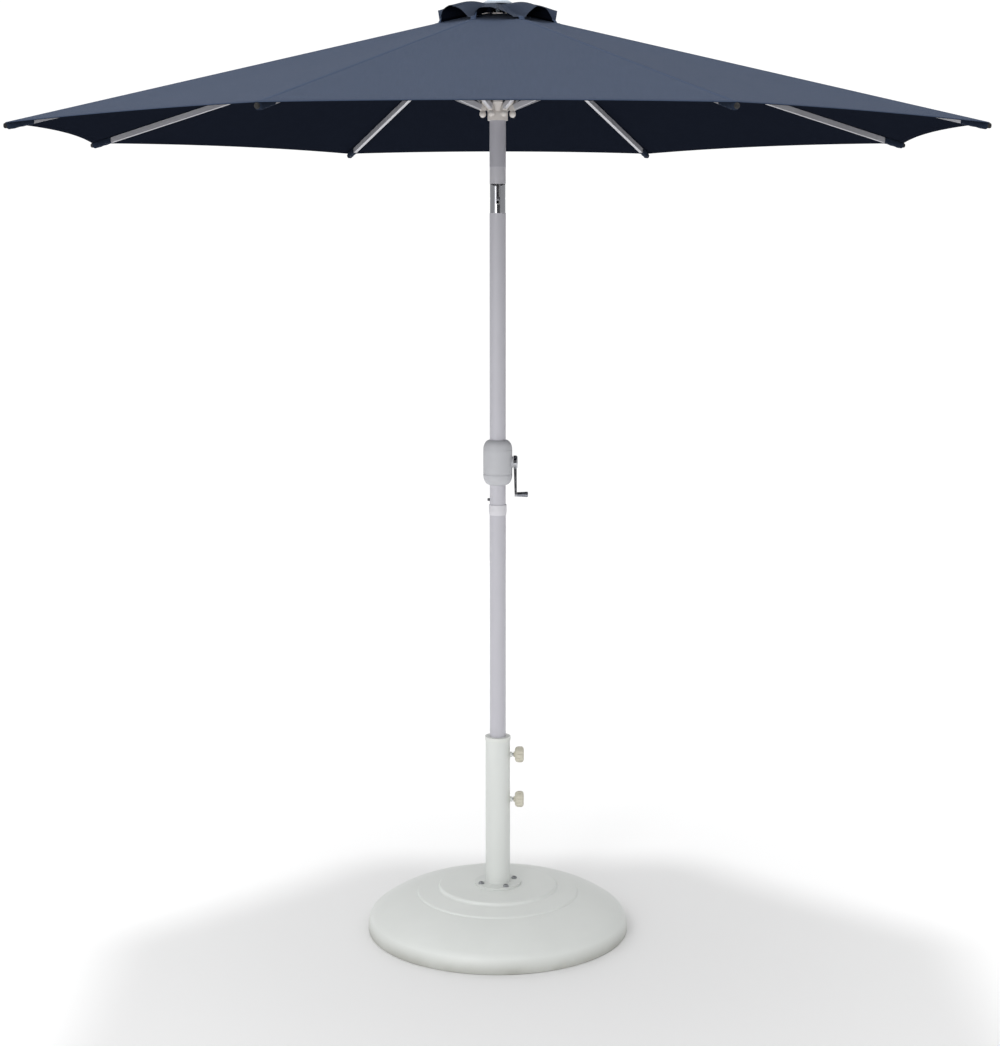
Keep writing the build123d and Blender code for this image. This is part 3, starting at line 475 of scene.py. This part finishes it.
def paint_nodes():
    """Give every CAD node the finish of its material slot, and the canopy's nodes its cloth."""
    slots = {part["node"]: part["material_slot"] for part in frame["record"]["subparts"]}
    for name, node in frame["nodes"].items():
        finish = FINISHES.get(slots[name], CLOTH_TOP)
        node.data.materials.clear()
        node.data.materials.append(finish)
        node.data.polygons.foreach_set("material_index", [0] * len(node.data.polygons))
    for name, second, is_second in SECOND_FINISHES:
        mesh = frame["nodes"][name].data
        mesh.materials.append(second)
        for face in mesh.polygons:
            if is_second(face.center):
                face.material_index = len(mesh.materials) - 1


# ---- places on the cloth ------------------------------------------------------------------


def rib_hinges():
    """Number, azimuth and pivot of every rib, from its hinge."""
    found = {joint["name"]: joint for joint in frame["joints"]}
    hinges = [found[f"rib_{number}_fold"] for number in range(1, RIBS + 1)]
    return [
        (number, atan2(-hinge["axis"][0], hinge["axis"][1]), Vector(hinge["pos_m"]))
        for number, hinge in enumerate(hinges, 1)
    ]


def off_rib(radius, share):
    """Distance out and sideways from the mast, for a place on the flat gores beside a rib."""
    out = radius * (1 - abs(share) * sin(HALF_GORE) ** 2)
    aside = radius * share * sin(HALF_GORE) * cos(HALF_GORE)
    return out, aside


def share_aside(radius, aside):
    """Share of a place that lies a given distance to the side of a rib."""
    return aside / (radius * sin(HALF_GORE) * cos(HALF_GORE))


def turned_to(azimuth, out, aside, height):
    return Vector((
        out * cos(azimuth) - aside * sin(azimuth),
        out * sin(azimuth) + aside * cos(azimuth),
        height,
    ))


def canopy_point(azimuth, radius, share):
    """Top of the canopy cloth: flat along the rib, hollow between ribs, with a curved hem."""
    out, aside = off_rib(radius, share)
    half_width = radius * sin(HALF_GORE) * cos(HALF_GORE)
    loose = max(0.0, (abs(aside) - RIB_SEAT) / (half_width - RIB_SEAT))
    pull = loose * (2 - loose)
    down = (radius - HOLE_RADIUS) / (HEM_RADIUS - HOLE_RADIUS)
    hollow = HEM_HOLLOW * pull * down ** 4
    side = 1 if share > 0 else -1
    out -= hollow * cos(HALF_GORE)
    aside -= side * hollow * sin(HALF_GORE)
    height = HEM_Z + SLOPE * (HEM_RADIUS - radius) + SLOPE / cos(HALF_GORE) * hollow
    height -= SAG * pull * sin(pi * down)
    point = turned_to(azimuth, out, aside, height)
    ripple = noise.noise(point * 5.0) * 0.0016 + noise.noise(point * 17.0) * 0.0005
    point.z += ripple * pull * (1 - down ** 6)
    return point


def vent_point(azimuth, radius, share, number):
    """Top of the vent cloth, held down at every rib and arched up between ribs.

    A gore has the number of the rib before it, and across runs from 0 to 1 over it.
    """
    out, aside = off_rib(radius, share)
    down = (radius - VENT_INNER_RADIUS) / (VENT_RADIUS - VENT_INNER_RADIUS)
    gore = (number if share > 0 else number - 1) % RIBS
    across = share / 2 if share > 0 else 1 + share / 2
    centred = across ** (log(0.5) / log(VENT_CRESTS[gore - 1])) if across > 0 else 0.0
    free = min(1.0, max(0.0, (centred - VENT_TIED) / (1 - 2 * VENT_TIED)))
    arch = sin(pi * free) ** 0.8 * VENT_LIFTS[gore - 1]
    height = vent_high.z + (vent_low.z + CLOTH - vent_high.z) * down
    height += arch * VENT_ARCH * down ** 1.3
    height += (arch * (VENT_PUFF + VENT_SINK) - VENT_SINK) * sin(pi * down) ** 1.2
    height += 0.0009 * arch * down * sin(23 * across + 5 * down)
    out += VENT_LEAN * arch * down ** 2
    return turned_to(azimuth, out, aside, height)


# ---- mesh tools ---------------------------------------------------------------------------


def new_object(name, mesh_data, materials):
    """Link a bmesh as a smooth-shaded object with these materials."""
    mesh = bpy.data.meshes.new(name)
    mesh_data.to_mesh(mesh)
    mesh_data.free()
    for material in materials:
        mesh.materials.append(material)
    mesh.polygons.foreach_set("use_smooth", [True] * len(mesh.polygons))
    piece = bpy.data.objects.new(name, mesh)
    bpy.context.scene.collection.objects.link(piece)
    return piece


def woven_grid(name, rows, columns, place, lay_flat, materials):
    """A sheet over a grid of radii and shares. lay_flat gives the place on the cut cloth."""
    shape = bmesh.new()
    uv = shape.loops.layers.uv.new("weave")
    grid = [[shape.verts.new(place(radius, share)) for share in columns] for radius in rows]
    for row in range(len(rows) - 1):
        for column in range(len(columns) - 1):
            corners = [(row, column), (row + 1, column), (row + 1, column + 1), (row, column + 1)]
            face = shape.faces.new([grid[r][c] for r, c in corners])
            middle = (columns[column] + columns[column + 1]) / 2
            for loop, (r, c) in zip(face.loops, corners):
                loop[uv].uv = lay_flat(rows[r], columns[c], middle)
    return new_object(name, shape, materials)


def swept_band(name, path, widths, materials, under_from=None):
    """A folded band, or a closed sleeve. path is its cross-sections, each a list of points, and
    widths are the distances across it. Faces from under_from on take the second material."""
    shape = bmesh.new()
    uv = shape.loops.layers.uv.new("weave")
    lengths = [0.0]
    for before, after in zip(path, path[1:]):
        lengths.append(lengths[-1] + (after[0] - before[0]).length)
    rings = [[shape.verts.new(point) for point in section] for section in path]
    for step in range(len(rings) - 1):
        for edge in range(len(widths) - 1):
            corners = [(step, edge), (step + 1, edge), (step + 1, edge + 1), (step, edge + 1)]
            face = shape.faces.new([rings[s][e] for s, e in corners])
            if under_from is not None and edge >= under_from:
                face.material_index = 1
            for loop, (s, e) in zip(face.loops, corners):
                loop[uv].uv = (lengths[s], widths[e])
    return new_object(name, shape, materials)


def solidify(piece, thickness, under_material):
    """Give a sheet its thickness below its top surface, open at its edges."""
    modifier = piece.modifiers.new("thickness", "SOLIDIFY")
    modifier.thickness = thickness
    modifier.offset = -1
    modifier.use_rim = False
    modifier.material_offset = under_material


def steps(first, last, count):
    """Even steps from first to last, both included."""
    return [first + (last - first) * index / count for index in range(count + 1)]


def flat_cloth(radius, share, middle):
    """Place on the cut gore, whose warp runs from the hem to the peak."""
    side = 1 if middle > 0 else -1
    return (-side * (1 - abs(share)) * radius * sin(HALF_GORE), radius * cos(HALF_GORE))


# ---- canopy -------------------------------------------------------------------------------


def gather(piece, number):
    """Ride on the rib as the canopy opens and closes."""
    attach(piece, f"rib_{number}")
    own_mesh(piece)


def canopy_cloth(number, azimuth):
    """Cloth from the middle of one gore, over a rib, to the middle of the next."""
    def place(radius, share):
        return canopy_point(azimuth, radius, share)
    rows = steps(HOLE_RADIUS, HEM_RADIUS, 40)
    columns = steps(-1, 1, 32)
    faces = [CLOTH_TOP, CLOTH_UNDER_SHADED]
    cloth = woven_grid(f"canopy_cloth_{number}", rows, columns, place, flat_cloth, faces)
    solidify(cloth, CLOTH, 1)
    gather(cloth, number)
    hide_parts(f"canopy_panel_{number}")


def canopy_hem(number, azimuth):
    """Hem folded over the cloth's edge, with one row of stitches."""
    widths = [width for width, height in HEM_PROFILE]
    path = []
    for share in steps(-1, 1, 64):
        section = []
        for width, height in HEM_PROFILE:
            radius = HEM_RADIUS - width / cos(HALF_GORE) + HEM_PROUD
            section.append(canopy_point(azimuth, radius, share) + Vector((0, 0, height)))
        path.append(section)
    hem = swept_band(f"canopy_hem_{number}", path, widths, [HEM, HEM_UNDER_SHADED], HEM_FOLD)
    gather(hem, number)


def canopy_seam(number, azimuth):
    """Flat-felled seam over the rib, with two rows of stitches."""
    widths = [width for width, height in SEAM_PROFILE]
    path = []
    for radius in steps(HOLE_RADIUS + 0.001, HEM_RADIUS - 0.002, 60):
        section = []
        for width, height in SEAM_PROFILE:
            share = share_aside(radius, width - widths[-1] / 2)
            section.append(canopy_point(azimuth, radius, share) + Vector((0, 0, height)))
        path.append(section)
    seam = swept_band(f"canopy_seam_{number}", path, widths, [SEAM])
    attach(seam, f"rib_{number}")


def squared_off(value):
    """Turn the sine or cosine of a circle into one of a rounded square."""
    return copysign(sqrt(abs(value)), value)


def corner_pocket(number, azimuth):
    """Sewn pocket that holds the end of the rib, with its mouth towards the mast."""
    turns = steps(0, 2 * pi, 20)
    path = []
    for step in steps(0, 1, 16):
        radius = HEM_RADIUS + 0.001 - POCKET_LENGTH * step
        top = canopy_point(azimuth, min(radius, HEM_RADIUS), 0).z - RIB_TOP_GAP
        opening = sqrt(min(1.0, step * 6 + 0.2))
        half_width = (RIB_WIDTH / 2 + POCKET_SLACK_ASIDE) * opening
        depth = (RIB_DEPTH + POCKET_SLACK_DOWN) * opening
        section = []
        for turn in turns:
            crease = 1 + 0.05 * sin(3 * turn + 19 * step)
            wide, deep = squared_off(cos(turn)), squared_off(sin(turn))
            height = top - depth / 2 * (1 - deep * (crease if deep < 0 else 1))
            section.append(turned_to(azimuth, radius, half_width * crease * wide, height))
        path.append(section)
    widths = steps(0, POCKET_GIRTH, len(turns) - 1)
    # The pocket's cloth carries painted shade.
    pocket = swept_band(f"corner_pocket_{number}", path, widths, [POCKET_SHADED])
    solidify(pocket, POCKET_CLOTH, 0)
    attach(pocket, f"rib_{number}")


def rib_end(number, azimuth):
    """Moulded plug at the tip of the rib, that shows past the pocket."""
    turns = steps(0, 2 * pi, 24)
    middle = canopy_point(azimuth, HEM_RADIUS, 0).z - RIB_TOP_GAP - RIB_DEPTH / 2
    path = []
    for out, size in PLUG_PROFILE:
        section = []
        for turn in turns:
            aside = size * (RIB_WIDTH / 2 + PLUG_SLACK) * cos(turn)
            height = middle + size * RIB_DEPTH / 2 * sin(turn)
            section.append(turned_to(azimuth, HEM_RADIUS + out, aside, height))
        path.append(section)
    widths = steps(0, PLUG_GIRTH, len(turns) - 1)
    plug = swept_band(f"rib_end_{number}", path, widths, [RIB_END])
    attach(plug, f"rib_{number}")


def vent_flounce(number, azimuth):
    """One eighth of the vent cloth, fixed under the finial and tied down to the rib."""
    def place(radius, share):
        return vent_point(azimuth, radius, share, number)
    rows = steps(VENT_INNER_RADIUS, VENT_RADIUS, 22)
    columns = steps(-1, 1, 40)
    faces = [VENT_TOP, CLOTH_UNDER_SHADED]
    flounce = woven_grid(f"vent_flounce_{number}", rows, columns, place, flat_cloth, faces)
    solidify(flounce, CLOTH, 1)
    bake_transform(flounce)
    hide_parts("vent_cap")


def vent_tie(number, azimuth):
    """Folded tab that sews the vent cloth's hem down to the canopy over a rib."""
    widths = [width for width, height in TIE_PROFILE]
    path = []
    for radius in steps(VENT_RADIUS - TIE_REACH, VENT_RADIUS + TIE_REACH, 12):
        past_hem = min(1.0, max(0.0, (radius - VENT_RADIUS) / TIE_STEP))
        section = []
        for width, height in TIE_PROFILE:
            share = share_aside(radius, width - widths[-1] / 2)
            on_canopy = canopy_point(azimuth, radius, share)
            on_vent = vent_point(azimuth, min(radius, VENT_RADIUS), share, number)
            level = on_vent.z + (on_canopy.z - on_vent.z) * past_hem
            section.append(Vector((on_canopy.x, on_canopy.y, level + height)))
        path.append(section)
    tie = swept_band(f"vent_tie_{number}", path, widths, [SEAM])
    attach(tie, f"rib_{number}")


def canopy():
    for number, azimuth, pivot in rib_hinges():
        canopy_cloth(number, azimuth)
        canopy_hem(number, azimuth)
        canopy_seam(number, azimuth)
        corner_pocket(number, azimuth)
        rib_end(number, azimuth)
        vent_flounce(number, azimuth)
        vent_tie(number, azimuth)


# ---- studio -------------------------------------------------------------------------------


def floor():
    """Plain pale floor, which runs into surroundings as white as itself."""
    finish = Finish("floor", 0.85, specular=0.1)
    cloud = finish.noise(finish.place(), 1.3, 3.0)
    finish.feed("Base Color", finish.tint(cloud, (0.93, 0.93, 0.93, 1.0), 0.004))
    shape = bmesh.new()
    bmesh.ops.create_grid(shape, x_segments=2, y_segments=2, size=FLOOR_REACH)
    ground = new_object("floor", shape, [finish.material])


def sky():
    """White surroundings. Their light falls mostly from above and least from the sides, and what
    polished metal mirrors is a grey room with a window and a dark strip, so that it looks round."""
    world = bpy.data.worlds.new("studio")
    world.use_nodes = True
    bpy.context.scene.world = world
    nodes = Nodes(world.node_tree)
    direction = nodes.add("ShaderNodeTexCoord", {}).outputs["Generated"]
    split = nodes.add("ShaderNodeSeparateXYZ", {"Vector": direction})
    from_above = nodes.span(split.outputs["Z"], 0.0, 0.9, SKY_LOW, SKY_HIGH)
    aside = nodes.math("ABSOLUTE", nodes.math("ADD", split.outputs["X"], 0.12))
    light = nodes.math("MULTIPLY", from_above, nodes.span(aside, 0.15, 0.95, 1.0, SKY_SIDES))
    window = nodes.math("COMPARE", split.outputs["X"], -0.52, 0.2)
    ahead = nodes.math("LESS_THAN", split.outputs["Y"], 0.0)
    dark = nodes.math("COMPARE", split.outputs["X"], 0.2, 0.38)
    bright = nodes.math("MULTIPLY", window, ROOM_WINDOW)
    dim = nodes.math("MULTIPLY", dark, ROOM_DARK)
    room = nodes.math("ADD", ROOM, nodes.math("MULTIPLY", ahead, bright))
    room = nodes.math("SUBTRACT", room, nodes.math("MULTIPLY", ahead, dim))
    path = nodes.add("ShaderNodeLightPath", {})
    lit = nodes.add("ShaderNodeMix", {0: path.outputs["Is Glossy Ray"], 2: light, 3: room})
    sockets = {0: path.outputs["Is Camera Ray"], 2: lit.outputs[0], 3: BACKDROP}
    seen = nodes.add("ShaderNodeMix", sockets).outputs[0]
    background = nodes.tree.nodes["Background"]
    background.inputs["Color"].default_value = (1.0, 1.0, 1.0, 1.0)
    nodes.tree.links.new(seen, background.inputs["Strength"])


def lamp(name, kind, place, target, energy, **settings):
    """A lamp that stands at a place and shines at a target."""
    light = bpy.data.lights.new(name, kind)
    light.energy = energy
    for setting, value in settings.items():
        setattr(light, setting, value)
    holder = bpy.data.objects.new(name, light)
    holder.location = place
    holder.rotation_euler = (Vector(target) - Vector(place)).to_track_quat("-Z", "Y").to_euler()
    bpy.context.scene.collection.objects.link(holder)


def studio():
    floor()
    sky()
    lamp("overhead", "SUN", place=(-0.4, 2.45, 9.0), target=(0, 0, 0), energy=0.8, angle=radians(7))
    lamp("softbox", "AREA", place=(-1.9, -4.4, 2.3), target=(0, 0, 1.0), energy=35.0,
         shape="RECTANGLE", size=0.9, size_y=2.6)


def camera():
    view = bpy.data.cameras.new("camera")
    view.lens = CAMERA_LENS
    view.sensor_width = 36.0
    holder = bpy.data.objects.new("camera", view)
    holder.location = (MAST_X, -CAMERA_DISTANCE, CAMERA_HEIGHT)
    holder.rotation_euler = (radians(90 - CAMERA_PITCH), 0, 0)
    bpy.context.scene.collection.objects.link(holder)
    bpy.context.scene.camera = holder


camera()
paint_nodes()
canopy()
studio()
bpy.context.scene.view_settings.view_transform = "Standard"
